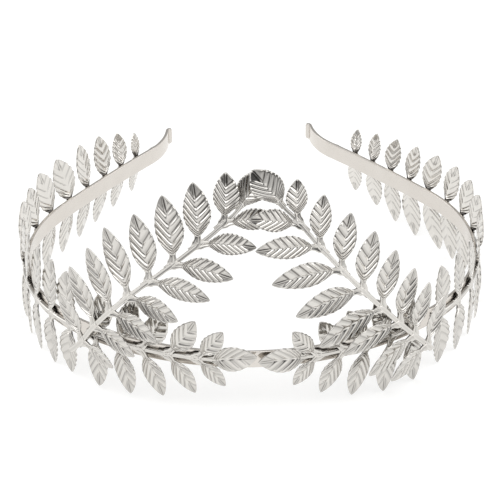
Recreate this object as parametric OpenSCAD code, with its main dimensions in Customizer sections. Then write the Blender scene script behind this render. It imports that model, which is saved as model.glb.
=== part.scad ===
// Leaf headband: a flat metal band on edge, with six pressed leaf sprays on its outer face.
// The band opens to the back, +Y. X runs across the head, and Z = 0 is the surface it stands on.

/* [Band] */
// Height of the strip, which stands on edge
strip_h = 5.8; // [5:0.1:7]
// Thickness of the strip
strip_t = 1; // [0.8:0.1:1.2]
// Radius of the front arc, at the middle of the strip
front_r = 82; // [80:1:84]
// Turn of each half of the front arc, in degrees
front_turn = 42; // [41:0.5:43]
// Radius of the arc round the side of the head
side_r = 46; // [45:0.5:47]
// Turn of the side arc, in degrees
side_turn = 88; // [86:1:90]
// Radius of the nearly straight back arm
back_r = 500; // [400:10:600]
// Turn of the back arm, in degrees
back_turn = 5; // [4.6:0.1:6]
// Radius of the outward flare near the tip
tip_r = 20; // [18:1:24]
// Turn of the flare, in degrees
tip_turn = 38; // [32:1:42]
// Radius of the small lip that the end of the strip is rolled into
lip_r = 1.1; // [1:0.1:1.4]
// Turn of the lip, in degrees
lip_turn = 110; // [80:5:130]

/* [Sprays] */
// Thickness of the pressed sheet
sheet_t = 0.5; // [0.4:0.05:0.6]
// Height of a vein ridge, and depth of the valley beside it
vein_h = 0.22; // [0.1:0.02:0.3]
// Depth of the groove along the middle of a leaf
groove_h = 0.3; // [0:0.05:0.4]
// Leaf width as a part of leaf length, where the next leaf leaves room
leaf_slim = 0.45; // [0.38:0.01:0.46]
// How far a leaf may reach over its neighbour's edge
leaf_overlap = 0.4; // [0:0.1:0.6]
// Turn of each leaf about its own length, so that neighbours clear each other
leaf_twist = 8; // [6:1:10]
// Length of the bare stalk between stem and leaf
stalk_l = 2.6; // [2:0.1:3]
// Width of a stem
stem_w = 2; // [1.6:0.1:2.2]
// Thickness of a stem, ridge to back
stem_t = 1.2; // [1:0.1:1.3]
// Depth of the channel pressed along a stem
channel_h = 0.35; // [0.2:0.05:0.5]
// Distance from the middle of the strip to the stems that lie along it
low_lift = 1.35; // [1.2:0.05:1.5]
// The same for the stems of the peak, which pass over the other sprays
high_lift = 4.8; // [4.5:0.1:5.2]
// How fast the peak leans back over the head, per millimetre of height squared
peak_lean = 0.0063; // [0.0055:0.0001:0.007]
// The same for the right peak spray, which leans less and so passes in front of the left one
cross_lean = 0.0052; // [0.005:0.0001:0.0055]

/* [Stand] */
// How far the lowest leaf tips reach below the middle of the strip
reach = 19; // [18:0.5:20]
// Distance from the front of the strip to the middle of the whole headband
to_middle = 61.6; // [58:0.5:64]

/* [Hidden] */
$fn = 96;
silver = [0.86, 0.85, 0.83];
pale_silver = [0.80, 0.79, 0.78];
gap = 0.1;
tip_blunt = 0.35;
tip_clear = 0.3;
vein_shift = 0.8;
vein_crowd = 0.3;
node_l = 1;
pad_l = 2.2;
pad_w = 2.2;
sagitta = 0.01;
end_stalk = 0.8;

// Plan of half the band, from the front centre to the tip. Columns: radius, turn
ARCS = [[front_r, front_turn], [side_r, side_turn], [back_r, back_turn], [tip_r, -tip_turn],
        [lip_r, lip_turn]];
RADIUS = 0;
TURN = 1;

// Stems. Columns: distance of the first leaf pair from the front centre along the band, its height
// above the middle of the strip, number of pairs, length of stem beyond the last pair, slope, and
// distance between pairs. The last two are given at the tip end, halfway and at the root end.
// A slope of 180 runs towards the back.
ALONG = 0;
HEIGHT = 1;
PAIRS = 2;
TAIL = 3;
SLOPE = 4;
PITCH = 5;
peak_left_stem = [10.5, 44.1, 8, 4, [36.5, 43, 58], [12.1, 8.8, 8.4]];
peak_right_stem = [12.2, 44, 8, 3.5, [51, 52.5, 50], [9.2, 9.5, 7.7]];
front_left_stem = [20, 0.5, 5, 1.6, [0, 0, 0], [8.8, 8.3, 7.8]];
front_right_stem = [17, 0.3, 5, 1.6, [0, 0, 0], [8, 7.9, 7.8]];
side_left_stem = [168.3, 0, 13, 1.6, [180, 180, 180], [6.5, 9.4, 8.6]];
side_right_stem = [164.5, 0, 13, 1.6, [180, 180, 180], [7.2, 8.8, 9.4]];

// Leaves. Columns: length, angle to the stem, and outward splay, each at the tip end of the stem,
// halfway and at the root end. Row 0 is the upper leaf of each pair and row 1 the lower.
LENGTH = 0;
ANGLE = 1;
SPLAY = 2;
peak_left_leaves = [[[14.6, 21.2, 16.4], [56, 68, 61], [0, 0, 0]],
                    [[14.6, 18.4, 13], [29, 53, 80], [0, 3, 6]]];
peak_right_leaves = [[[12.8, 18.3, 16.8], [44, 57, 63], [0, 0, 0]],
                     [[15.7, 22, 16.5], [39, 60, 71], [0, 3, 6]]];
front_left_leaves = [[[13.5, 18.4, 20], [50, 62, 74], [0, 0, 0]],
                     [[13, 16.8, 18], [45, 64, 84], [3, 4, 5]]];
front_right_leaves = [[[13, 16, 17], [50, 62, 74], [1, 0, 0]],
                      [[12.5, 17.8, 19.5], [50, 70, 90], [3, 4, 5]]];
side_left_leaves = [[[10.3, 20, 19.3], [74, 102, 88], [18, 1, 0]],
                    [[12.5, 19.2, 18], [90, 95, 88], [14, 3, 1]]];
side_right_leaves = [[[9.8, 17, 17.4], [77, 103, 90], [22, 4, 0]],
                     [[13, 20.5, 18.5], [88, 94, 90], [6, 2, 1]]];

// End leaf of each spray. Columns: length of stem between the first pair and the leaf, bend of that
// stretch from the slope of the first pair, length, width, turn from the slope of the first pair, curl
LEAD = 0;
BEND = 1;
END_LENGTH = 2;
END_WIDTH = 3;
END_TURN = 4;
CURL = 5;
peak_left_end = [6.8, 7, 12.2, 11.2, 16, -1.2];
peak_right_end = [8.8, -5, 11.8, 11.2, 3, -1.2];
front_left_end = [6.2, 0, 13.7, 7.4, 8, -1];
front_right_end = [5.8, 0, 12.7, 7.2, 0, -0.9];
side_end = [5.2, 0, 6.8, 3.8, 0, 0.8];

function mix(a, b, t) = a + (b - a) * t;
function unit(v) = v / norm(v);
function sum_to(list, n) = n < 0 ? 0 : list[n] + sum_to(list, n - 1);

// The smooth run through three table values, at the part t of the way from the tip end to the root
function run(v, t) = v[0] * (1 - t) * (1 - 2 * t) + v[1] * 4 * t * (1 - t) + v[2] * t * (2 * t - 1);

// Point and heading [x, y, angle] at distance s along the band, walking from arc to arc
function plan(s, i = 0, p = [0, -to_middle], a = 0) =
    let (r = ARCS[i][RADIUS] * sign(ARCS[i][TURN]), turn = ARCS[i][TURN], span = r * turn * PI / 180)
    s <= span || i == len(ARCS) - 1
    ? let (b = a + s / r * 180 / PI) [p.x + r * (sin(b) - sin(a)), p.y - r * (cos(b) - cos(a)), b]
    : let (b = a + turn)
      plan(s - span, i + 1, [p.x + r * (sin(b) - sin(a)), p.y - r * (cos(b) - cos(a))], b);

// Distance outward from the middle of the strip, at height h
function lift(h, base, lean) = base - lean * pow(max(h, 0), 2);

// Point on the curved sheet that a spray follows
function on_sheet(s, h, base, lean) =
    let (p = plan(s), out = lift(h, base, lean))
    [p.x + sin(p[2]) * out, p.y - cos(p[2]) * out, reach + h];

// Directions there: along the band, up the sheet, and outward
function axes(s, h, lean) =
    let (a = plan(s)[2], along = [cos(a), sin(a), 0],
         up = unit([sin(a) * -2 * lean * max(h, 0), cos(a) * 2 * lean * max(h, 0), 1]))
    [along, up, cross(along, up)];

// Places [s, h] and slopes of the leaf pairs of a stem, from its tip end to its root
function pair_t(stem, i) = i / (stem[PAIRS] - 1);
function pair_slope(stem, i) = run(stem[SLOPE], pair_t(stem, i));
function pair_step(stem, i) =
    i == 0 ? [0, 0]
    : run(stem[PITCH], pair_t(stem, i)) * [cos(pair_slope(stem, i)), -sin(pair_slope(stem, i))];
function pair_place(stem, i) =
    i == 0 ? [stem[ALONG], stem[HEIGHT]] : pair_place(stem, i - 1) + pair_step(stem, i);

// Direction of the stem towards its tip, in the axes of the sheet
function stem_way(ax, slope) = -ax[0] * cos(slope) + ax[1] * sin(slope);
function stem_side(ax, way) = cross(way, ax[2]).z < 0 ? cross(ax[2], way) : cross(way, ax[2]);

// Half width of a leaf at the part t of its blade, as a part of its greatest half width
function leaf_edge(t) = pow(max(sin(180 * pow(t, 0.85)), 0), 0.8);

// Six points round a stem or leaf: the outer face from the +side edge over the middle to the other
// edge, then the inner face back
function ring(edge_at, mid_at, side, out, half_w, edge_t, mid_t) =
    [edge_at + side * half_w + out * edge_t, mid_at + out * mid_t,
     edge_at - side * half_w + out * edge_t, edge_at - side * half_w - out * edge_t,
     mid_at - out * mid_t, edge_at + side * half_w - out * edge_t];

// Rings of a pressed leaf from its stalk to its tip. The blade's veins run out from the middle
// towards the tip, ridge and valley in turn, and it bends back by curl at the tip.
function leaf(at, way, out, length, width, rows, curl = 0, twist = 0, stalk = stalk_l) =
    let (flat = cross(out, way), blade = length - stalk,
         side = flat * cos(twist) + out * sin(twist), face = out * cos(twist) - flat * sin(twist))
    [for (j = [0:rows])
        let (t = j / rows, half_w = leaf_edge(t) * width / 2,
             wave = (j == 0 || j == rows) ? 0 : (j % 2 == 0 ? -vein_h : vein_h),
             groove = (j == rows ? 0.3 : 1) * groove_h,
             edge_x = stalk + blade * t,
             mid_x = stalk + max(blade * t * (j == rows ? 1 : vein_crowd), blade * t - half_w * vein_shift))
        ring(at + way * edge_x + face * (wave + curl * pow(edge_x / length, 2)),
             at + way * mid_x + face * (wave - groove + curl * pow(mid_x / length, 2)),
             side, face, max(half_w, tip_blunt), sheet_t / 2, sheet_t / 2)];

// Ring of a stem at a place [s, h], wider towards the root
function stem_ring(p, slope, base, lean, wide) =
    let (at = on_sheet(p[0], p[1], base, lean), ax = axes(p[0], p[1], lean), t = stem_t / 2)
    ring(at, at - ax[2] * channel_h / 2, cross(ax[2], stem_way(ax, slope)), ax[2],
         stem_w / 2 * wide, t, t - channel_h / 2);

// The length of a leaf that ends just above the surface the headband stands on
function trimmed(length, at, way) = way.z < 0 ? min(length, (at.z - tip_clear) / -way.z) : length;

// One leaf of a pair. Row 0 is the upper leaf.
function side_leaf(stem, spec, i, row, rows, base, lean) =
    let (p = pair_place(stem, i), t = pair_t(stem, i), ax = axes(p[0], p[1], lean),
         at = on_sheet(p[0], p[1], base, lean), stem_to = stem_way(ax, pair_slope(stem, i)),
         turn = run(spec[ANGLE], t), splay = run(spec[SPLAY], t),
         flat = stem_to * cos(turn) + stem_side(ax, stem_to) * sin(turn) * (row == 0 ? 1 : -1),
         way = flat * cos(splay) + ax[2] * sin(splay),
         length = trimmed(run(spec[LENGTH], t), at, way),
         room = i == 0 ? length : run(stem[PITCH], t) * sin(turn) + leaf_overlap)
    leaf(at, way, ax[2] * cos(splay) - flat * sin(splay), length, min(length * leaf_slim, room), rows,
         0, row == 0 ? leaf_twist : -leaf_twist);

// Triangles between two rings of six points that start at a and b, leaving out the edges listed
function strip(a, b, skip = []) =
    [for (e = [0:5]) if (len(search(e, skip)) == 0) let (f = (e + 1) % 6)
        each [[a + e, b + e, a + f], [a + f, b + e, b + f]]];

// Triangles from the wall of a stem, corners c, to the first ring of a leaf that starts at r
function root(c, r) =
    [[c[0], r, r + 1], [c[0], r + 1, c[1]], [c[1], r + 1, r + 2], [c[1], r + 2, c[2]], [c[2], r + 2, r + 3],
     [c[2], r + 3, r + 4], [c[2], r + 4, c[3]], [c[3], r + 4, r + 5], [c[3], r + 5, c[0]], [c[0], r + 5, r]];

// Triangles that close a ring that starts at a, seen from behind it or from in front
function cap(a, front) =
    [for (e = [1:4]) front ? [a, a + e + 1, a + e] : [a, a + e, a + e + 1]];

// One pressed spray on the right-hand side, as one closed skin. Its trunk is the stem and the end
// leaf. Each pair of leaves grows from the walls of the stem between two rings of the trunk, and on
// the peak a post runs from under the stem to the band.
module spray(stem, leaves, end, rows, base, lean, post = false) {
    n = stem[PAIRS];
    dirs = [for (i = [0:n - 1]) let (a = pair_slope(stem, i)) [-cos(a), sin(a)]];
    places = [for (i = [0:n - 1]) pair_place(stem, i)];
    at = [for (p = places) on_sheet(p[0], p[1], base, lean)];
    ax = [for (p = places) axes(p[0], p[1], lean)];
    ways = [for (i = [0:n - 1]) stem_way(ax[i], pair_slope(stem, i))];
    tip_slope = pair_slope(stem, 0) + end[BEND];
    tip_to = places[0] + [-cos(tip_slope), sin(tip_slope)] * end[LEAD];
    tip_at = on_sheet(tip_to[0], tip_to[1], base, lean);
    tip_way = unit(ways[0] * cos(end[END_TURN]) + stem_side(ax[0], ways[0]) * sin(end[END_TURN]));
    root_to = places[n - 1] - dirs[n - 1] * stem[TAIL];

    trunk = concat([stem_ring(root_to, pair_slope(stem, n - 1), base, lean, 0.7)],
        [for (i = [n - 1:-1:0]) let (a = pair_slope(stem, i), wide = mix(1, 0.8, 1 - pair_t(stem, i)))
            each concat([stem_ring(places[i] - dirs[i] * node_l, a, base, lean, wide),
                         stem_ring(places[i] + dirs[i] * node_l, a, base, lean, wide)],
                        i == 0 ? [] : [stem_ring((places[i] + places[i - 1]) / 2, a, base, lean, wide * 0.9)])],
        [stem_ring(tip_to, tip_slope, base, lean, 0.6)],
        leaf(tip_at, tip_way, ax[0][2], end[END_LENGTH], end[END_WIDTH], rows, end[CURL],
             stalk = end_stalk));
    side_leaves = [for (i = [0:n - 1], row = [0, 1])
        side_leaf(stem, leaves[row], i, row, rows, base, lean)];

    // The post stands on the stretch of stem that crosses the middle of the strip
    low = max([for (i = [0:n - 1]) places[i][1] > 0 ? i : 0]);
    cross_at = places[low] - dirs[low] * places[low][1] / max(dirs[low][1], 0.1);
    post_ring = (n - 1 - low) * 3;
    foot = [for (o = [[-1, -1], [1, -1], [1, 0], [1, 1], [-1, 1], [-1, 0]])
        let (p = cross_at + dirs[low] * o[0] * pad_l / 2 + [-dirs[low][1], dirs[low][0]] * -o[1] * pad_w / 2)
        on_sheet(p[0], p[1], strip_t / 2 + gap, 0)];

    k = 6 * len(trunk);
    per = 6 * (rows + 1);
    foot_at = k + len(side_leaves) * per;
    upper_first = cross(ax[0][2], ways[0]).z > 0;
    a6 = 6 * post_ring;
    top = [a6 + 3, a6 + 9, a6 + 10, a6 + 11, a6 + 5, a6 + 4];
    trunk_faces = [for (j = [0:len(trunk) - 2])
        let (at_pair = j < 3 * n && j % 3 == 1, at_post = post && j == post_ring)
        each strip(6 * j, 6 * j + 6, concat(at_pair ? [2, 5] : [], at_post ? [3, 4] : []))];
    leaf_faces = [for (i = [0:n - 1], row = [0, 1])
        let (a = 6 * (1 + (n - 1 - i) * 3), b = a + 6, r = k + (2 * i + row) * per,
             left = (row == 0) == upper_first)
        each concat(root(left ? [a, b, b + 5, a + 5] : [b + 2, a + 2, a + 3, b + 3], r),
                    [for (j = [0:rows - 1]) each strip(r + 6 * j, r + 6 * j + 6)],
                    cap(r + 6 * rows, true))];
    post_faces = [for (e = [0:5]) let (f = (e + 1) % 6)
        each [[top[e], top[f], foot_at + f], [top[e], foot_at + f, foot_at + e]]];
    polyhedron(concat([for (r = trunk) each r], [for (l = side_leaves, r = l) each r], post ? foot : []),
               concat(cap(0, false), trunk_faces, cap(k - 6, true), leaf_faces,
                      post ? concat(post_faces, cap(foot_at, false)) : []));
}

// Points along both faces of the strip, from the left tip round the front to the right tip
module band() {
    spans = [for (a = ARCS) a[RADIUS] * abs(a[TURN]) * PI / 180];
    steps = [for (a = [0:len(ARCS) - 1]) ceil(spans[a] / sqrt(8 * ARCS[a][RADIUS] * sagitta))];
    half = sum_to(spans, len(ARCS) - 1);
    right = [for (a = [0:len(ARCS) - 1], i = [1:steps[a]]) sum_to(spans, a - 1) + spans[a] * i / steps[a]];
    stops = concat([for (i = [len(right) - 1:-1:0]) -right[i]], [0], right);
    function face(s, out) =
        let (p = plan(abs(s)))
        [(s < 0 ? -1 : 1) * (p.x + sin(p[2]) * out), p.y - cos(p[2]) * out];
    color(silver)
        translate([0, 0, reach - strip_h / 2])
            linear_extrude(strip_h)
                polygon(concat([for (s = stops) face(s, strip_t / 2)],
                               [for (i = [len(stops) - 1:-1:0]) face(stops[i], -strip_t / 2)]));
}

module peak_spray_left() {
    color(silver)
        mirror([1, 0, 0])
            spray(peak_left_stem, peak_left_leaves, peak_left_end, 8, high_lift, peak_lean, post = true);
}

module peak_spray_right() {
    color(silver)
        spray(peak_right_stem, peak_right_leaves, peak_right_end, 8, high_lift, cross_lean, post = true);
}

module front_spray_left() {
    color(pale_silver)
        mirror([1, 0, 0])
            spray(front_left_stem, front_left_leaves, front_left_end, 8, low_lift, 0);
}

module front_spray_right() {
    color(pale_silver)
        spray(front_right_stem, front_right_leaves, front_right_end, 8, low_lift, 0);
}

module side_spray_left() {
    color(pale_silver)
        mirror([1, 0, 0])
            spray(side_left_stem, side_left_leaves, side_end, 7, low_lift, 0);
}

module side_spray_right() {
    color(pale_silver)
        spray(side_right_stem, side_right_leaves, side_end, 7, low_lift, 0);
}

band();
peak_spray_left();
peak_spray_right();
front_spray_left();
front_spray_right();
side_spray_left();
side_spray_right();
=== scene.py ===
import math

import bpy
import numpy as np
from mathutils import Matrix, Vector


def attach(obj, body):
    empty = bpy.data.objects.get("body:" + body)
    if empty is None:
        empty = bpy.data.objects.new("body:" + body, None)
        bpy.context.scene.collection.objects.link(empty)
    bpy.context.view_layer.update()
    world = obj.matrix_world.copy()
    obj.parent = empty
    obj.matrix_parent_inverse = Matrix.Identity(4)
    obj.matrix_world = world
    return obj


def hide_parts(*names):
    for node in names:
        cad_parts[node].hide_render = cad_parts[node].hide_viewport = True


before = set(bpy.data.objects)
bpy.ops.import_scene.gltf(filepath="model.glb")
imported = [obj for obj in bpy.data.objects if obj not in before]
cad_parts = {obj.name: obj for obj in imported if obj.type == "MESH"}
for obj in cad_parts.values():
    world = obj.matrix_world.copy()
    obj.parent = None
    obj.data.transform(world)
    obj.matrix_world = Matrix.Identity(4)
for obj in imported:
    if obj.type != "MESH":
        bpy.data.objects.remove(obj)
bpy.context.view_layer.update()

MM = 0.001

# ---------------------------------------------------------------- sizes

# In mm, and as in the part's source where it has them

STRIP_H, STRIP_T = 5.8, 1.0
REACH, TO_MIDDLE = 19.0, 61.6
# Plan of half the band, from the front centre to the tip: radius, turn in degrees (outward is negative)
ARCS = ((82, 42), (46, 88), (500, 5), (20, -38), (1.1, 110))

SHEET_T = 0.5
# Width of a leaf as a part of its length, overlap of neighbours in a row, and twist in degrees
LEAF_SLIM, LEAF_OVERLAP, LEAF_TWIST = 0.45, 0.4, 8.0
# Stalks of peak and front leaves, of side leaves, and of end leaves, which start before the stem's end
STALK_L, SIDE_STALK_L, END_STALK = 2.6, 2.0, -1.0
# Sideways bow of a midrib on an 18 mm leaf, and how far the tip of a lower leaf bends inward
BOW, BOW_AT_L, LEAN_IN = 0.8, 18, -0.6
STEM_W, STEM_T, CHANNEL = 2.0, 1.2, 0.26
# From the middle of the strip outward to the stems on the strip and to the stems of the peak
LOW_LIFT, HIGH_LIFT = 1.35, 4.8
# Lowest point that a leaf tip may reach
TIP_CLEAR = 0.34
# How far the veins sweep back at the edge, lean besides, and may crowd at the base, as parts
VEIN_SHIFT, VEIN_LEAN, VEIN_CROWD = 1.08, 0.2, 0.3
VEINS, END_VEINS = 6, 10
POST = 2.2

# Relief of a leaf, in mm on a 17 mm leaf with six veins: rise of a scale, how low it starts, the groove
# at its foot, and the crease at the tip; then the midrib's groove and how deep a stalk starts in the stem
RELIEF_AT_L, SCALE_UP, SCALE_LOW, GROOVE_LOW, CREASE_UP = 17, 0.33, 0.15, 0.06, 0.16
MIDRIB_LOW, STALK_LOW = 0.12, 0.34
# Height in mm of the fold from midrib to edge and of the cushion on each half, where a leaf is 6 mm wide
FOLD, CUSHION = 0.24, 0.10
# Painted groove shade and pressing depth: peak leaves at the tip end, halfway and root, then front and side
# leaves
SHADE_AND_PRESS, FRONT_SHADE_AND_PRESS, SIDE_SHADE_AND_PRESS = (0.95, 0.7, 0.28), 0.5, 0.42

# Each spray: side of the head, distance from band to stem, lean, stem, upper and lower leaves, end leaf.
# Stem: distance along the band, height, pairs, tail, slope and pitch at the tip end, halfway and root.
# Leaves: length, angle to the stem and outward splay, at the same three places.
# End leaf: lead, bend, length, width, turn, curl.
SPRAYS = {
    "peak_spray_left": dict(
        side=-1, base=HIGH_LIFT, lean=0.0063, stem=(10.5, 44.1, 8, 4, (36.5, 43, 58), (12.1, 8.8, 8.4)),
        upper=((14.6, 21.2, 16.4), (56, 68, 61), (0, 0, 0)),
        lower=((14.6, 18.4, 13), (29, 53, 80), (0, 3, 6)), end=(6.8, 7, 12.2, 11.2, 16, -1.2)),
    "peak_spray_right": dict(
        side=1, base=HIGH_LIFT, lean=0.0052, stem=(12.2, 44, 8, 3.5, (51, 52.5, 50), (9.2, 9.5, 7.7)),
        upper=((12.8, 18.3, 16.8), (44, 57, 63), (0, 0, 0)),
        lower=((15.7, 22, 16.5), (39, 60, 71), (0, 3, 6)), end=(8.8, -5, 11.8, 11.2, 3, -1.2)),
    "front_spray_left": dict(
        side=-1, base=LOW_LIFT, lean=0, stem=(20, 0.5, 5, 1.6, (0, 0, 0), (8.8, 8.3, 7.8)),
        upper=((13.5, 18.4, 20), (50, 62, 74), (0, 0, 0)),
        lower=((13, 16.8, 18), (45, 64, 84), (3, 4, 5)), end=(6.2, 0, 13.7, 7.4, 8, -1)),
    "front_spray_right": dict(
        side=1, base=LOW_LIFT, lean=0, stem=(17, 0.3, 5, 1.6, (0, 0, 0), (8, 7.9, 7.8)),
        upper=((13, 16, 17), (50, 62, 74), (1, 0, 0)),
        lower=((12.5, 17.8, 19.5), (50, 70, 90), (3, 4, 5)), end=(5.8, 0, 12.7, 7.2, 0, -0.9)),
    "side_spray_left": dict(
        side=-1, base=LOW_LIFT, lean=0, stem=(168.3, 0, 13, 1.6, (180, 180, 180), (6.5, 9.4, 8.6)),
        upper=((10.3, 20, 19.3), (74, 102, 88), (18, 1, 0)),
        lower=((12.5, 19.2, 18), (90, 95, 88), (14, 3, 1)), end=(5.2, 0, 6.8, 3.8, 0, 0.8)),
    "side_spray_right": dict(
        side=1, base=LOW_LIFT, lean=0, stem=(164.5, 0, 13, 1.6, (180, 180, 180), (7.2, 8.8, 9.4)),
        upper=((9.8, 17, 17.4), (77, 103, 90), (22, 4, 0)),
        lower=((13, 20.5, 18.5), (88, 94, 90), (6, 2, 1)), end=(5.2, 0, 6.8, 3.8, 0, 0.8)),
}

# How single leaves were bent off their row by hand. Each row has up to six lists, from the tip end of the
# stem on: extra length in mm, extra angle to the stem and extra twist in degrees, slide down the stem in
# mm, veins beyond six on each half, and extra width in mm. What a list leaves out is 0.
# end: extra length and width of the end leaf. tail: extra length of the stem's root end, and its turn.
BENT = {
    "front_spray_left": dict(end=(-1.2, 1.4)),
    "front_spray_right": dict(end=(0, 1.6)),
    "peak_spray_left": dict(
        tail=(3.4, -7), end=(0, -1.3),
        upper=((0.7, 1.2, 1, -0.3, 0.8, 0, 0.8), (-4, -1, 0, 0, 3), (0, 0, 0), (1.6, 0.7, 0),
               (2, 2, 1), (1.2, 0.2)),
        lower=((2.5, 0.4, 0.8, 1.2, -1, 0, 0.4), (1, 0, 2, -2), (0, 0, 0), (1.5, 0, 0),
               (3, 3, 2, 2, 1, 1), (-1.2, 0))),
    "peak_spray_right": dict(
        end=(0, -1.3),
        upper=((0, 0.5, 0.5, 0.4, 0, -0.5), (-2, 0, 1, 0, -2, -3, -6), (0, 0, 0), (0, 0), (1, 1), (1, 0)),
        lower=((0, 1.2, 1.4, 0.5, 1), (0, 0, 0, 2, 5, -6, 3), (0, 0, 0), (1.2, 0.5, 0.3),
               (2, 2, 1, 1, 1))),
    "side_spray_left": dict(
        upper=((-0.5, 0.5, 1.5, 1.3, 0.8, 0, -1), (0, 0, 0, 0, 5, 4, 0), (-12, 2, -4, -20, 2, -6, -6, 4)),
        lower=((0, 0, 0, 0, 0), (0, 7, 10, 8, 7, 6, 4), (21, 16, 17, 20, 19, 15, 12, 6))),
    "side_spray_right": dict(
        upper=((0, 0, 0), (0, 0, 0), (0, -8, 6, -12, 4, -10, -4, 4)),
        lower=((0, 0, 1, 1.5, 1.5), (0, 6, 6, 7, 14, 8, 4), (6, 5, 14, 12, 9, 9, 6, 4))),
}

# ---------------------------------------------------------------- small numpy helpers


def unit(v):
    """Each vector divided by its own length."""
    return v / np.linalg.norm(v, axis=-1, keepdims=True)


def ease(x, a, b):
    """0 before a, 1 after b, and the cubic 3q^2 - 2q^3 between them."""
    q = np.clip((x - a) / (b - a), 0, 1)
    return q * q * (3 - 2 * q)


def hump(x, at, wide):
    """Bell of height 1 round `at`: e to the minus square of the distance over the width."""
    return np.exp(-(((x - at) / wide) ** 2))


def run(v, t):
    """The parabola through three table values, at t = 0, 1/2 and 1."""
    return v[0] * (1 - t) * (1 - 2 * t) + v[1] * 4 * t * (1 - t) + v[2] * t * (2 * t - 1)


# ---------------------------------------------------------------- the sheet that stems follow


def plan(s):
    """Point and heading at distance s from the front centre. The walk uses up s arc by arc: on an arc
    of radius r the heading grows by (distance on it) / r, and the point moves by r times the
    difference of the sines, and of the cosines, of the two headings."""
    left = np.array(s, float)
    x, y, a = np.zeros_like(left), np.full_like(left, -TO_MIDDLE), np.zeros_like(left)
    for n, (radius, turn) in enumerate(ARCS):
        r = math.copysign(radius, turn)
        span = abs(radius * math.radians(turn))
        part = np.clip(left, None if n == 0 else 0, None if n == len(ARCS) - 1 else span)
        b = a + part / r
        x, y, a, left = x + r * (np.sin(b) - np.sin(a)), y - r * (np.cos(b) - np.cos(a)), b, left - part
    return x, y, a


def sheet(s, h, base, lean):
    """Point and three directions of the curved sheet: the plan point moved outward by
    base - lean h^2, at height h; along the band, up the sheet's slope, and their cross product."""
    x, y, a = plan(s)
    h = np.asarray(h, float)
    out, tilt = base - lean * np.maximum(h, 0) ** 2, -2 * lean * np.maximum(h, 0)
    at = np.stack([x + np.sin(a) * out, y - np.cos(a) * out, REACH + h], -1)
    along = np.stack([np.cos(a), np.sin(a), 0 * a], -1)
    up = unit(np.stack([np.sin(a) * tilt, -np.cos(a) * tilt, 1 + 0 * a], -1))
    return at, along, up, np.cross(along, up)


def pairs(stem):
    """Places (s, h), slopes and parts t of the leaf pairs. Each place is the one before it plus the
    pitch there times (cos slope, -sin slope), so the places are a running sum."""
    t = np.arange(stem[2]) / (stem[2] - 1)
    slope, pitch = np.radians(run(stem[4], t)), run(stem[5], t)
    steps = pitch[:, None] * np.stack([np.cos(slope), -np.sin(slope)], -1)
    steps[0] = stem[0], stem[1]
    return np.cumsum(steps, 0), slope, t, pitch


# ---------------------------------------------------------------- skins


def closed_skin(rings):
    """Faces of a closed tube: four-sided faces between rings, which run round and close on themselves,
    and a fan from each end ring to its own middle point. If the volume, a sum of triple products, comes
    out negative, every face is turned over."""
    n, k = rings.shape[:2]
    v = np.concatenate([rings.reshape(-1, 3), rings[:1].mean(1), rings[-1:].mean(1)])
    j, i = np.meshgrid(np.arange(n - 1) * k, np.arange(k), indexing="ij")
    f = (i + 1) % k
    quads = np.stack([j + i, j + f, j + k + f, j + k + i], -1).reshape(-1, 4)
    i, f = np.arange(k), (np.arange(k) + 1) % k
    ends = np.concatenate([np.stack([f, i, 0 * i + n * k], -1),
                           np.stack([(n - 1) * k + i, (n - 1) * k + f, 0 * i + n * k + 1], -1)])
    volume = np.einsum("ij,ij->", v[quads[:, 0]], np.cross(v[quads[:, 1]], v[quads[:, 2]]))
    volume += np.einsum("ij,ij->", v[quads[:, 0]], np.cross(v[quads[:, 2]], v[quads[:, 3]]))
    if volume < 0:
        quads, ends = quads[:, ::-1], ends[:, ::-1]
    return v, quads, ends


def make_piece(name, node, finish, skins):
    """One object from closed skins (rings, painted shade), in place of a CAD node. The painted shade of each
    point, 0 on the ridges and 1 in the grooves, is kept as an attribute that darkens the material's colour."""
    points, loops, starts, painted_shade_values, at, where = [], [], [], [], 0, 0
    for rings, painted_shade in skins:
        v, quads, ends = closed_skin(rings)
        for faces in (quads, ends):
            loops.append((faces + at).ravel())
            starts.append(where + np.arange(len(faces)) * faces.shape[1])
            where += faces.size
        points.append(v)
        painted_shade_values.append(np.concatenate([painted_shade.ravel(), painted_shade[:1].mean(1), painted_shade[-1:].mean(1)]))
        at += len(v)
    points, loops, starts, painted_shade_values = map(np.concatenate, (points, loops, starts, painted_shade_values))
    mesh = bpy.data.meshes.new(name)
    mesh.vertices.add(len(points))
    mesh.vertices.foreach_set("co", (points * MM).astype(np.float32).ravel())
    mesh.loops.add(len(loops))
    mesh.loops.foreach_set("vertex_index", loops.astype(np.int32))
    mesh.polygons.add(len(starts))
    mesh.polygons.foreach_set("loop_start", starts.astype(np.int32))
    mesh.update(calc_edges=True)
    mesh.validate()
    mesh.polygons.foreach_set("use_smooth", np.ones(len(mesh.polygons), bool))
    mesh.attributes.new("painted_shade", "FLOAT", "POINT").data.foreach_set("value", painted_shade_values.astype(np.float32))
    mesh.materials.append(finish)
    piece = bpy.data.objects.new(name, mesh)
    bpy.context.scene.collection.objects.link(piece)
    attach(piece, "root")
    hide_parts(node)
    return piece


# ---------------------------------------------------------------- leaves

# Round a leaf's section: place across the flat part, from -1 to 1, and angle round the rounded edge
FACE_N, BACK_N = 21, 9
ACROSS = np.concatenate([np.linspace(1, -1, FACE_N), -np.ones(4), np.linspace(-1, 1, BACK_N), np.ones(4)])
ROUND = np.radians(np.concatenate([np.full(FACE_N, 90), [126, 162, 198, 234], np.full(BACK_N, 270),
                                   [306, 342, 378, 414]]))
EDGE_R = SHEET_T / 2
# Where the veins end and the flat tip begins, as a part of the blade
TIP_FROM = 0.86
# How far the edge waves, as a part of the half width: side leaves, peak and front leaves, end leaves
SIDE_WAVE, WAVE, END_WAVE = 0.045, 0.025, 0.015


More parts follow.
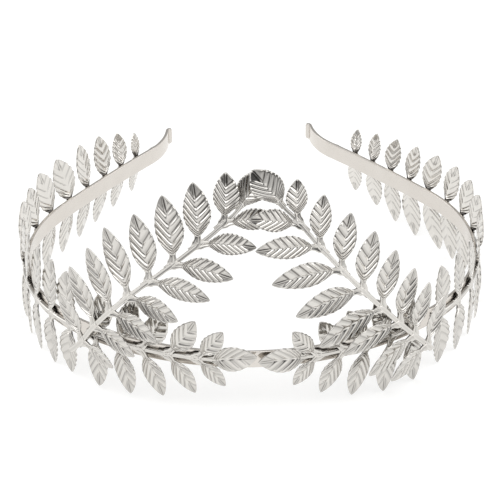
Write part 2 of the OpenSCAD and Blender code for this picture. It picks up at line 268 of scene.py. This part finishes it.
def leaf_edge(t, base_power):
    """Half width of a blade as a part of its greatest: the sine of 180 t^0.85 degrees, to a power that
    runs from base_power at the base to 0.7 at the tip."""
    power = base_power + (0.7 - base_power) * ease(t, 0.15, 0.75)
    return np.maximum(np.sin(np.pi * np.clip(t, 0, 1) ** 0.85), 0) ** power


def leaf(at, way, out, stem_to, length, width, curl, twist, stalk, base_power, bow, veins, shade_and_press,
         wavy=WAVE, cut=0.0):
    """Rings of a pressed leaf and its painted shade. A row q of the blade starts at the edge, at distance
    x = stalk + blade q, and its middle lags behind by the vein shift times the half width, or by a part
    of its own distance where that is less, so that rows lie along the veins. The midrib bows sideways
    by 4 bow (x / length)(1 - x / length). The edge waves by a sine of one turn a vein, and `cut` makes
    one half narrower towards the base.

    The surface is the row's point, plus the half width times u across, plus the face direction times: a
    fold that rises from the midrib as |u|^1.2, a cushion that is half a sine on each half, the veins, a
    crease at the tip, and curl x^2. Veins overlap like scales. With f the fraction of the vein count,
    which leans with u, a scale rises by a smooth step from f = 0.1 to 0.46 and falls by one from 0.58
    to 0.85, and a groove, a bell round f = 0.97, lies at its foot. The half of a leaf on the side of
    the stem's tip is pressed less where the painted groove shade is weak. On the outer face the painted
    shade is the groove shade times the groove and crease lines, plus a painted dim band, a bell round
    f = 0.2, plus painted shade in the channel and over the flat tip. On the inner face it is painted
    along the groove lines and near the base of the blade.

    The stalk's rows follow a parabola that leaves the stem along it and ends along the leaf, with two
    rims and a channel between them."""
    blade = length - stalk
    n_stalk, n_tip = 11, 14
    # Rows to a vein, closest together halfway between grooves, where a scale turns over
    rows = 90 // veins if wavy < SIDE_WAVE else 9
    c = np.arange(veins * rows + 1) / rows
    c = c + 0.4 / (2 * np.pi) * np.sin(2 * np.pi * c)
    at_end = np.sin(np.linspace(0, np.pi / 2, n_tip + 1)[1:]) ** 0.9
    q = np.concatenate([c / veins * TIP_FROM, TIP_FROM + (1 - TIP_FROM) * at_end])
    p = np.linspace(0, 1, n_stalk, endpoint=False)

    # Middle line, heading and twist, first over the stalk and then over the blade
    p0, p1, p2 = at - stem_to * 2.8, at + stem_to * 0.1, at + way * max(stalk, 0.1)
    bend = (1 - p)[:, None] ** 2 * p0 + (2 * p * (1 - p))[:, None] * p1 + (p * p)[:, None] * p2
    head = unit(2 * (1 - p)[:, None] * (p1 - p0) + 2 * p[:, None] * (p2 - p1))
    x = np.concatenate([p * stalk, stalk + blade * q])[:, None]
    centre = np.concatenate([bend, at + way * (stalk + blade * q)[:, None]])
    head = np.concatenate([head, np.tile(way, (len(q), 1))])
    turn = np.radians(twist) * np.concatenate([ease(p, 0.3, 1), np.ones(len(q))])[:, None]
    across, face = np.cross(out, head), np.tile(out, (len(centre), 1))
    across, face = across * np.cos(turn) + face * np.sin(turn), face * np.cos(turn) - across * np.sin(turn)
    p = np.concatenate([p, np.ones(len(q))])[:, None]
    q = np.concatenate([np.zeros(n_stalk), q])[:, None]
    far = np.clip(x / length, 0, 1)
    toward = np.sign(across[-1] @ stem_to)
    centre = centre + across * (4 * bow * far * (1 - far) * toward)

    # Half width and half thickness of each row
    c, on_blade = q * veins / TIP_FROM, ease(q, 0.01, 0.08)
    u = ACROSS[None, :]
    au = np.abs(u)
    scallop = 1 + wavy * np.sin(2 * np.pi * c) * ease(q, 0.05, 0.2) * (1 - ease(q, 0.8, 0.9))
    narrow = (0.92 + 0.4 * hump(p, 0.62, 0.22)) * (1 - ease(q, 0.2, 0.5))
    half = (narrow ** 4 + (leaf_edge(q, base_power) * width / 2 * scallop) ** 4) ** 0.25
    half = half * np.where(u > 0, 1 - cut * on_blade * (1 - ease(q, 0.1, 0.75)), 1)
    half = np.maximum(half, 0.3 * (1 - ease(q, 0.985, 1)) + 0.1)
    thick = 0.25 + 0.27 * (1 - ease(x, stalk * 0.5, stalk + 1.6))
    thick = thick * (1 - 0.5 * ease(q, 0.97, 1))
    edge_r = np.minimum(EDGE_R, np.minimum(half * 0.8, thick))
    lag = np.minimum(half * VEIN_SHIFT, blade * q * (1 - VEIN_CROWD)) * (1 - ease(q, 0.93, 1))

    outer = (np.sin(ROUND) > 0)[None, :]
    y = u * (half - edge_r) + np.cos(ROUND)[None, :] * edge_r
    z = np.sign(np.sin(ROUND))[None, :] * (thick - edge_r) + np.sin(ROUND)[None, :] * edge_r

    # Scales of the veins, grooves and painted dim bands between them, midrib, channel and crease
    ribs_on = on_blade * (1 - ease(q, TIP_FROM - 0.03, TIP_FROM + 0.03))
    part = np.mod(c + 0.12 * (u < 0) + VEIN_LEAN * toward * u * half * veins / (blade * TIP_FROM), 1)
    scale = ease(part, 0.1, 0.46) * (1 - ease(part, 0.58, 0.85))
    groove = hump(np.abs(part - 0.47), 0.5, 0.09)
    dim = hump(part, 0.2, 0.14)
    size = np.clip(length / RELIEF_AT_L, 0.6, 1) * VEINS / veins * (0.55 + 0.45 * min(shade_and_press / 0.65, 1))
    channel = hump(u, 0, 0.5) * (1 - ease(x, stalk * 0.9, stalk + 2.2)) * (1 - ease(q, 0.1, 0.2))
    pressed = ribs_on * (1 - 0.75 * (1 - min(shade_and_press / 0.8, 1)) * ease(u * toward, -0.05, 0.1))
    flat_edge = 1 - 0.5 * ease(au, 0.8, 0.98)
    relief = size * (SCALE_UP * scale - SCALE_LOW - GROOVE_LOW * groove) * pressed * flat_edge
    relief = relief - MIDRIB_LOW * hump(u * half, 0, 0.26) * ribs_on - CHANNEL * channel
    crease = hump(u * half, 0, 0.32) - 0.5 * hump(np.abs(u * half), 0.8, 0.28)
    at_tip = ease(q, TIP_FROM - 0.04, TIP_FROM + 0.02) * (1 - ease(q, 0.95, 0.99))
    relief = relief + CREASE_UP * size * crease * at_tip

    full = np.minimum(half / 3.0, 1.4)
    form = on_blade * full * (FOLD * au ** 1.2 + CUSHION * np.sin(np.pi * au ** 0.85))
    form = form - STALK_LOW * (1 - ease(p, 0.1, 0.55))
    z = z + form + np.where(outer, relief, 0.7 * relief * (q > 0)) + curl * (x / length) ** 2

    rings = (centre[:, None, :] - head[:, None, :] * (lag * (1 - au ** 1.15))[..., None]
             + across[:, None, :] * y[..., None] + face[:, None, :] * z[..., None])
    # Painted shade: groove and crease lines, dim bands, channel and flat tip on the outer face; groove lines
    # and the blade's base on the inner face
    lines = np.clip(groove * pressed * ease(au, 0.02, 0.1), 0, 1)
    lines = lines + hump(np.abs(u * half), 0.42, 0.16) * at_tip
    flat_tip = ease(q, TIP_FROM, TIP_FROM + 0.03)
    front = shade_and_press * lines + 0.2 * dim * pressed + 0.2 * channel + 0.26 * shade_and_press * flat_tip
    front = 0.08 + np.clip(front, 0, 0.9)
    back = np.clip(0.6 * lines + 0.9 * (1 - ease(x, stalk + 0.6, stalk + 2.2)), 0, 1)
    return rings, np.where(outer, front, back)


# ---------------------------------------------------------------- stems


def stem_line(spec, bent):
    """Points (s, h) of a stem from its root to its end leaf, the distance along it of each, and that of
    each pair. Between neighbouring knots the line is the cubic that has the pair's heading at each
    end, with both end speeds equal to the knots' distance."""
    places, slope, t, _ = pairs(spec["stem"])
    lead, bend, _, _, end_turn, _ = spec["end"]
    dirs = np.stack([-np.cos(slope), np.sin(slope)], -1)
    tip_slope, tip_head = slope[0] + math.radians(bend), slope[0] + math.radians(end_turn)
    tip = places[0] + np.array([-math.cos(tip_slope), math.sin(tip_slope)]) * lead
    more, turned = bent.get("tail", (0, 0))
    tail = slope[-1] + math.radians(turned)
    tail_way = np.array([-math.cos(tail), math.sin(tail)])
    knots = np.concatenate([[places[-1] - tail_way * (spec["stem"][3] + more)], places[::-1], [tip]])
    heads = np.concatenate([[tail_way], dirs[::-1], [[-math.cos(tip_head), math.sin(tip_head)]]])
    out, knot_at = [], [0.0]
    for a, b, m, n in zip(knots[:-1], knots[1:], heads[:-1], heads[1:]):
        d = np.linalg.norm(b - a)
        u = np.linspace(0, 1, int(math.ceil(d / 0.3)), endpoint=False)[:, None]
        out.append(a * (1 + 2 * u) * (1 - u) ** 2 + b * u * u * (3 - 2 * u)
                   + m * d * u * (1 - u) ** 2 - n * d * u * u * (1 - u))
        knot_at.append(knot_at[-1] + d)
    line = np.concatenate(out + [knots[-1:]])
    at = np.concatenate([[0], np.cumsum(np.linalg.norm(np.diff(line, axis=0), axis=1))])
    at *= knot_at[-1] / at[-1]
    return line, at, np.array(knot_at)[1:-1]


def stem_skin(spec, bent):
    """Rings of a stem and its painted shade. The section is a flat oval, the cosine to the power 0.7 across
    and the sine to the power 0.6 outward, whose outer face has two rims and a channel, a bell of the place
    across. It widens as a bell round each leaf pair, where the rims sink to let the leaf stalks out. A
    stem on the strip is half-round instead: its sides start 0.85 of the half thickness inward, its outer
    face rises from there with the power 0.85, and its nearly flat back lies close to the strip. The
    painted shade is darker in the channel of the outer face and even on the back."""
    line, at, nodes = stem_line(spec, bent)
    point, _, _, out = sheet(line[:, 0], line[:, 1], spec["base"], spec["lean"])
    head = unit(np.gradient(point, axis=0))
    across = unit(np.cross(out, head))
    n = len(nodes)
    knots = np.concatenate([[0], nodes, [at[-1]]])
    wide = np.interp(at, knots, np.concatenate([[0.9], np.linspace(1, 0.8, n), [0.6]]))[:, None]
    near = hump(at[:, None], nodes[None, :] + 0.5, 1.1).sum(1)[:, None]
    half = STEM_W / 2 * wide * (0.86 + 0.2 * near)
    blunt = np.sqrt(np.clip(1 - (1 - np.minimum(at / 0.9, 1)) ** 2, 0.02, 1))[:, None]
    half = half * blunt
    turn = np.linspace(0, 2 * np.pi, 28, endpoint=False)[None, :]
    on_strip = spec["base"] == LOW_LIFT
    u = np.sign(np.cos(turn)) * np.abs(np.cos(turn)) ** 0.7
    v = np.sign(np.sin(turn)) * np.abs(np.sin(turn)) ** (0.85 if on_strip else 0.6)
    outer = np.sin(turn) > 0
    if on_strip:
        v = np.where(outer, 1.85 * v, 0.45 * v) - 0.85
    open_rim = np.clip((np.exp(-(((at[:, None] - nodes[None, :] - 0.4) / 0.95) ** 4))).sum(1), 0, 1)[:, None]
    channel = hump(u, 0, 0.52)
    rim = 0.62 * open_rim * hump(np.abs(u), 0.95, 0.35)
    z = v * STEM_T / 2 * blunt - np.where(outer, CHANNEL * (channel * blunt + rim), 0)
    rings = point[:, None, :] + across[:, None, :] * (u * half)[..., None] + out[:, None, :] * z[..., None]
    # Painted shade: 0.02 on the outer face, rising by 0.14 in the channel, and 0.1 on the back
    return rings, np.where(outer, 0.02 + 0.14 * channel, 0.1) * np.ones_like(z)


def post_skin(spec, bent):
    """Rings of the solder post: a rounded square, cos and sin to the power 0.5, that narrows by a
    seventh at its waist and runs from under the stem to the face of the band. On its way it passes
    through the front spray, whose stem lies on the band there."""
    line = stem_line(spec, bent)[0]
    k = np.argmin(np.abs(line[:, 1]))
    (s, h), d = line[k], unit(line[min(k + 1, len(line) - 1)] - line[k - 1])
    turn = np.linspace(0, 2 * np.pi, 24, endpoint=False)
    u, v = (np.sign(f) * np.abs(f) ** 0.5 * POST / 2 for f in (np.cos(turn), np.sin(turn)))
    lifts = np.linspace(HIGH_LIFT - STEM_T / 4, STRIP_T / 2 + 0.05, 14)
    waist = 0.86 + 0.14 * np.abs(np.linspace(-1, 1, 14)) ** 3
    rings = []
    for lift, w in zip(lifts, waist):
        rings.append(sheet(s + (d[0] * u - d[1] * v) * w, h + (d[1] * u + d[0] * v) * w, lift, 0)[0])
    # The post carries an even painted shade of 0.25
    return np.stack(rings), np.full((14, 24), 0.25)


def spray_skins(spec, bent):
    """All closed skins of one spray: its stem, its end leaf, its pairs of leaves and its post, built on
    the right and mirrored by x -> -x for the left."""
    places, slope, t, pitch = pairs(spec["stem"])
    at, along, up, out = sheet(places[:, 0], places[:, 1], spec["base"], spec["lean"])
    way = unit(-along * np.cos(slope)[:, None] + up * np.sin(slope)[:, None])
    side = np.cross(way, out)
    side *= np.where(side[:, 2:] < 0, -1, 1)
    high = spec["base"] == HIGH_LIFT
    low = not high and spec["stem"][2] > 8
    # Painted groove shade, which also sets how deep the leaves are pressed, for each leaf pair
    shade_and_press = run(SHADE_AND_PRESS, t) if high else 0 * t + (SIDE_SHADE_AND_PRESS if low else FRONT_SHADE_AND_PRESS)
    skins = [stem_skin(spec, bent)]

    lead, bend, length, width, turn, curl = spec["end"]
    tip_slope = slope[0] + math.radians(bend)
    tip = places[0] + np.array([-math.cos(tip_slope), math.sin(tip_slope)]) * lead
    tip_at = sheet(tip[0], tip[1], spec["base"], spec["lean"])[0]
    tip_way = unit(way[0] * math.cos(math.radians(turn)) + side[0] * math.sin(math.radians(turn)))
    end_longer, end_wider = bent.get("end", (0, 0))
    skins.append(leaf(tip_at, tip_way, out[0], tip_way, length + end_longer, width + end_wider, curl, 0,
                      END_STALK, 0.8, 0, END_VEINS if high else VEINS, shade_and_press[0],
                      wavy=END_WAVE, cut=0.4 if high else 0))

    for row, sign in (("upper", 1), ("lower", -1)):
        longer, turned, twisted, slid, more, wider = (np.zeros(len(t)) for _ in range(6))
        for values, into in zip(bent.get(row, ()), (longer, turned, twisted, slid, more, wider)):
            into[:len(values)] = values
        for i in range(len(t)):
            a = math.radians(run(spec[row][1], t[i]) + turned[i])
            w = math.radians(run(spec[row][2], t[i]))
            flat = way[i] * math.cos(a) + side[i] * math.sin(a) * sign
            to = flat * math.cos(w) + out[i] * math.sin(w)
            face = out[i] * math.cos(w) - flat * math.sin(w)
            length = run(spec[row][0], t[i]) + longer[i]
            if to[2] < 0:
                length = min(length, (at[i][2] - TIP_CLEAR) / -to[2])
            room = length if i == 0 else pitch[i] * math.sin(a) + LEAF_OVERLAP
            width = min(length * LEAF_SLIM, room) + wider[i]
            curl = LEAN_IN if sign < 0 else LEAN_IN / 2 if low else 0
            skins.append(leaf(at[i] - way[i] * slid[i], to, face, way[i], length, width, curl,
                              sign * LEAF_TWIST + twisted[i], SIDE_STALK_L if low else STALK_L,
                              0.7 if low else 0.95, BOW * length / BOW_AT_L, VEINS + int(more[i]),
                              shade_and_press[i], wavy=SIDE_WAVE if low else WAVE))
    if high:
        skins.append(post_skin(spec, bent))
    return [(rings * np.array([spec["side"], 1, 1]), painted_shade) for rings, painted_shade in skins]


# ---------------------------------------------------------------- band


def band_skins():
    """The strip: a rounded rectangle with slightly domed faces, carried along the plan from the left
    tip to the right one. Near each end its height and thickness shrink as quarter circles of the
    distance left, which rounds the corners and the nose."""
    spans = [abs(r * math.radians(t)) for r, t in ARCS]
    steps = (1.0, 0.8, 2.0, 0.5, 0.12)
    right = [np.linspace(0, span, int(math.ceil(span / step)), endpoint=False) + sum(spans[:n])
             for n, (span, step) in enumerate(zip(spans, steps))]
    half_l = sum(spans)
    close = half_l - np.array([1.0, 0.8, 0.6, 0.45, 0.32, 0.2, 0.12, 0.06, 0.02, 0.004])
    right = np.concatenate(right)
    right = np.concatenate([right[right < half_l - 1.02], close])
    s = np.concatenate([-right[:0:-1], right])
    left_over = half_l - np.abs(s)
    high = STRIP_H / 2 - 0.9 + np.sqrt(np.clip(0.81 - (0.9 - np.minimum(left_over, 0.9)) ** 2, 1e-4, None))
    thick = STRIP_T / 2 * np.sqrt(np.clip(1 - (1 - np.minimum(left_over / 0.5, 1)) ** 2, 1e-3, None))
    r = 0.26
    arc = np.radians(np.array([0, 22, 45, 68, 90]))
    flat = np.array([-0.97, -0.6, 0, 0.6, 0.97])
    # One side of the section from bottom to top, then over the top edge, then the other side down
    u = np.concatenate([np.ones(5), np.cos(arc[1:]), [0], -np.cos(arc[1:])[::-1], -np.ones(5),
                        -np.cos(arc[1:]), [0], np.cos(arc[1:])[::-1]])
    corner_u = np.concatenate([np.ones(9), [0], -np.ones(13), [0], np.ones(4)])
    corner_v = np.concatenate([flat, np.ones(4), [1], np.ones(4), -flat, -np.ones(4), [-1], -np.ones(4)])
    v = np.concatenate([np.zeros(5), np.sin(arc[1:]), [1], np.sin(arc[1:])[::-1], np.zeros(5),
                        -np.sin(arc[1:]), [-1], -np.sin(arc[1:])[::-1]])
    rr = np.minimum(r, 0.9 * thick)[:, None]
    side = corner_u * (thick[:, None] - rr) + np.where(np.abs(corner_u) > 0, u * rr, 0)
    tall = corner_v * (high[:, None] - rr) + v * rr
    dome = 0.05 * (1 - (tall / high[:, None]) ** 2) * np.sign(corner_u) * (thick[:, None] / (STRIP_T / 2))
    side = side * 0.96 + dome * 0.4
    x, y, a = plan(np.abs(s))
    sx = np.where(s < 0, -1, 1)[:, None]
    rings = np.stack([sx * (x[:, None] + np.sin(a)[:, None] * side), y[:, None] - np.cos(a)[:, None] * side,
                      REACH + tall], -1)
    return [(rings, np.zeros(rings.shape[:2]))]


# ---------------------------------------------------------------- materials


def linear(code):
    """sRGB hex to linear: (c / 12.92) below 0.04045, ((c + 0.055) / 1.055) to the 2.4 above it."""
    c = [int(code[i:i + 2], 16) / 255 for i in (1, 3, 5)]
    return tuple(v / 12.92 if v <= 0.04045 else ((v + 0.055) / 1.055) ** 2.4 for v in c) + (1.0,)


def add(tree, kind, settings=None, inputs=None):
    """Adds a node, sets its properties, and fills its sockets with values or links."""
    node = tree.nodes.new(kind)
    for key, value in (settings or {}).items():
        setattr(node, key, value)
    for key, value in (inputs or {}).items():
        if isinstance(value, bpy.types.NodeSocket):
            tree.links.new(value, node.inputs[key])
        else:
            node.inputs[key].default_value = value
    return node


# Clouds in the plating, and its grain, drawn coarser than the real one so that it shows
CLOUD, GRAIN, GRAIN_H = 6 * MM, 0.5 * MM, 0.04 * MM


def silver_plate(name, light, dark, rough, grain, painted_shade_part):
    """Silver-plated brass. A light and a dark colour are mixed by the painted shade attribute, which
    paints shade into the grooves, plus a random tone from clouds of a few millimetres; the roughness is
    broken by the clouds and rises a little with the painted shade, and a fine grain lifts the surface a
    little."""
    mat = bpy.data.materials.new(name)
    mat.use_nodes = True
    tree = mat.node_tree
    tree.nodes.clear()
    place = add(tree, "ShaderNodeTexCoord").outputs["Object"]
    painted_shade = add(tree, "ShaderNodeAttribute", {"attribute_name": "painted_shade"}).outputs["Fac"]
    cloud = add(tree, "ShaderNodeTexNoise",
                inputs={"Vector": place, "Scale": 1 / CLOUD, "Detail": 3.0, "Roughness": 0.55})
    fine = add(tree, "ShaderNodeTexNoise",
               inputs={"Vector": place, "Scale": 1 / GRAIN, "Detail": 2.0, "Roughness": 0.5})
    part = add(tree, "ShaderNodeMath", {"operation": "MULTIPLY_ADD", "use_clamp": True},
               {0: cloud.outputs["Fac"], 1: 0.16, 2: -0.05})
    # Painted shade from the attribute, scaled by its part, plus the clouds' random tone, pulls the colour to
    # the dark one
    shade_and_clouds = add(tree, "ShaderNodeMath", {"operation": "MULTIPLY_ADD", "use_clamp": True},
               {0: painted_shade, 1: painted_shade_part, 2: part.outputs[0]})
    colour = add(tree, "ShaderNodeMix", {"data_type": "RGBA"},
                 {0: shade_and_clouds.outputs[0], 6: linear(light), 7: linear(dark)})
    sheen = add(tree, "ShaderNodeMapRange",
                inputs={0: cloud.outputs["Fac"], 1: 0.3, 2: 0.7, 3: rough * 0.8, 4: rough * 1.25})
    dull = add(tree, "ShaderNodeMath", {"operation": "MULTIPLY_ADD", "use_clamp": True},
               {0: painted_shade, 1: 0.18, 2: sheen.outputs[0]})
    bump = add(tree, "ShaderNodeBump",
               inputs={"Strength": grain, "Distance": GRAIN_H, "Height": fine.outputs["Fac"]})
    shade = add(tree, "ShaderNodeBsdfPrincipled",
                inputs={"Base Color": colour.outputs[2], "Metallic": 1.0, "Roughness": dull.outputs[0],
                        "Normal": bump.outputs[0]})
    add(tree, "ShaderNodeOutputMaterial", inputs={"Surface": shade.outputs[0]})
    return mat


# Softly polished silver plating on flat strip: a blurred reflection, warm and light
band_silver = silver_plate("silver_plated_strip", "#D6D1CB", "#A89C8C", 0.20, 0.12, 0.4)
# Silver plating on pressed leaves: mirror-bright on the veins, with a nearly black brown painted shade in
# the grooves
leaf_silver = silver_plate("silver_plated_pressing", "#DFDCD7", "#2C2621", 0.08, 0.2, 1.0)

make_piece("strip", "band", band_silver, band_skins())
for node, spec in SPRAYS.items():
    skins = spray_skins(spec, BENT.get(node, {}))
    make_piece(node.replace("_spray", "_leaves"), node, leaf_silver, skins)

# ---------------------------------------------------------------- floor and light


FLOOR = 3.0


def floor():
    """A square of twice FLOOR metres, flat at z = 0."""
    mesh = bpy.data.meshes.new("table_top")
    corners = [(x * FLOOR, y * FLOOR, 0) for x, y in ((-1, -1), (1, -1), (1, 1), (-1, 1))]
    mesh.from_pydata(corners, [], [(0, 1, 2, 3)])
    top = bpy.data.objects.new("table_top", mesh)
    bpy.context.scene.collection.objects.link(top)
    # Backlit white acrylic, as on a product table: pale, without gloss, and with a little light of its own
    mat = bpy.data.materials.new("white_acrylic")
    mat.use_nodes = True
    tree = mat.node_tree
    tree.nodes.clear()
    acrylic = add(tree, "ShaderNodeBsdfDiffuse", inputs={"Color": linear("#BEBEBD")})
    glow = add(tree, "ShaderNodeEmission", inputs={"Color": linear("#FFFFFF"), "Strength": 0.55})
    shade = add(tree, "ShaderNodeAddShader", inputs={0: acrylic.outputs[0], 1: glow.outputs[0]})
    add(tree, "ShaderNodeOutputMaterial", inputs={"Surface": shade.outputs[0]})
    mesh.materials.append(mat)


floor()


# Light at each height in degrees above the horizon: the lowest, the highest and what lies between
BACK_LIGHT = ((0, 0.86), (90, 1.9), (24, 0.8), (37, 0.85), (53, 1.6))
FRONT_LIGHT = ((0, 0.84), (90, 2.0), (12, 0.74), (19, 0.16), (25, 0.03), (39, 0.04), (44, 1.4), (50, 2.8),
               (66, 2.4))
# Soft round patches: azimuth and height of the middle, inner and outer radius, in degrees, and light.
# Azimuth 0 is the front, and it grows towards the picture's right.
PATCHES = (
    (34, 33, 9, 20, 0.12),     # a grey card in the dark band on the right
    (-46, -2, 14, 38, 0.64),   # a slightly greyer spot low on the left
    (-66, 21, 7, 16, 0.35),    # a smaller and darker one above it
    (-102, 20, 8, 18, 2.4),    # a window on the left
    (76, 22, 10, 22, 2.2),     # a window on the right
    (180, 30, 25, 60, 0.5),    # a greyer wall behind
)


def studio():
    """Soft light from all round, as in a white tent. Height above the horizon is the z of the direction.
    One ramp over it serves the back. The other serves the front, where a dark band, the room round the
    camera, lies below a long softbox; the two are mixed by a smooth step of the horizontal direction's
    dot product with the camera's. A soft round patch is a smooth step of the direction's dot product
    with the patch's middle."""
    world = bpy.data.worlds.new("studio")
    bpy.context.scene.world = world
    world.use_nodes = True
    tree = world.node_tree
    tree.nodes.clear()
    way = add(tree, "ShaderNodeTexCoord").outputs["Generated"]
    height = add(tree, "ShaderNodeSeparateXYZ", inputs={0: way}).outputs["Z"]

    def ramp(stops):
        node = add(tree, "ShaderNodeValToRGB", inputs={0: height})
        for n, (elevation, light) in enumerate(stops):
            stop = node.color_ramp.elements[n] if n < 2 else node.color_ramp.elements.new(0.5)
            stop.position, stop.color = math.sin(math.radians(elevation)), (light, light, light, 1)
        return node.outputs["Color"]

    def step(vector, azimuth, elevation, outer, inner):
        az, el = math.radians(azimuth), math.radians(elevation)
        middle = (math.sin(az) * math.cos(el), -math.cos(az) * math.cos(el), math.sin(el))
        near = add(tree, "ShaderNodeVectorMath", {"operation": "DOT_PRODUCT"}, {0: vector, 1: middle})
        return add(tree, "ShaderNodeMapRange", {"interpolation_type": "SMOOTHSTEP"},
                   {0: near.outputs["Value"], 1: math.cos(math.radians(outer)),
                    2: math.cos(math.radians(inner))}).outputs[0]

    flat = add(tree, "ShaderNodeVectorMath", {"operation": "MULTIPLY"}, {0: way, 1: (1, 1, 0)}).outputs[0]
    flat = add(tree, "ShaderNodeVectorMath", {"operation": "NORMALIZE"}, {0: flat}).outputs[0]
    shade = add(tree, "ShaderNodeMix", {"data_type": "RGBA"},
                {0: step(flat, -8, 0, 74, 48), 6: ramp(BACK_LIGHT), 7: ramp(FRONT_LIGHT)}).outputs[2]
    for azimuth, elevation, inner, outer, light in PATCHES:
        shade = add(tree, "ShaderNodeMix", {"data_type": "RGBA"},
                    {0: step(way, azimuth, elevation, outer, inner), 6: shade,
                     7: (light, light, light, 1)}).outputs[2]
    glow = add(tree, "ShaderNodeBackground", inputs={"Color": shade, "Strength": 1.0})
    add(tree, "ShaderNodeOutputWorld", inputs={"Surface": glow.outputs[0]})


studio()
bpy.context.scene.view_settings.view_transform = "Standard"

# ---------------------------------------------------------------- camera

AZIMUTH, ELEVATION, ROLL = (math.radians(v) for v in (-3.0, 33.5, -0.5))
DISTANCE, FOCAL = 890.0, 201.85
AIM = Vector((0, 2.4, 19))
PIXELS_BELOW, PIXELS_PER_MM = 9.5, 3.15

back = Vector((math.sin(AZIMUTH) * math.cos(ELEVATION), -math.cos(AZIMUTH) * math.cos(ELEVATION),
               math.sin(ELEVATION)))
right = Vector((math.cos(AZIMUTH), math.sin(AZIMUTH), 0))
up = back.cross(right)
right, up = right * math.cos(ROLL) + up * math.sin(ROLL), up * math.cos(ROLL) - right * math.sin(ROLL)
eye = AIM + back * DISTANCE
back = (eye - (AIM - up * (PIXELS_BELOW / PIXELS_PER_MM))).normalized()
right = up.cross(back).normalized()
up = back.cross(right)
lens = bpy.data.cameras.new("camera")
lens.lens, lens.sensor_width, lens.clip_start, lens.clip_end = FOCAL, 36, 0.01, 20
camera = bpy.data.objects.new("camera", lens)
bpy.context.scene.collection.objects.link(camera)
camera.matrix_world = Matrix.Translation(eye * MM) @ Matrix((right, up, back)).transposed().to_4x4()
bpy.context.scene.camera = camera
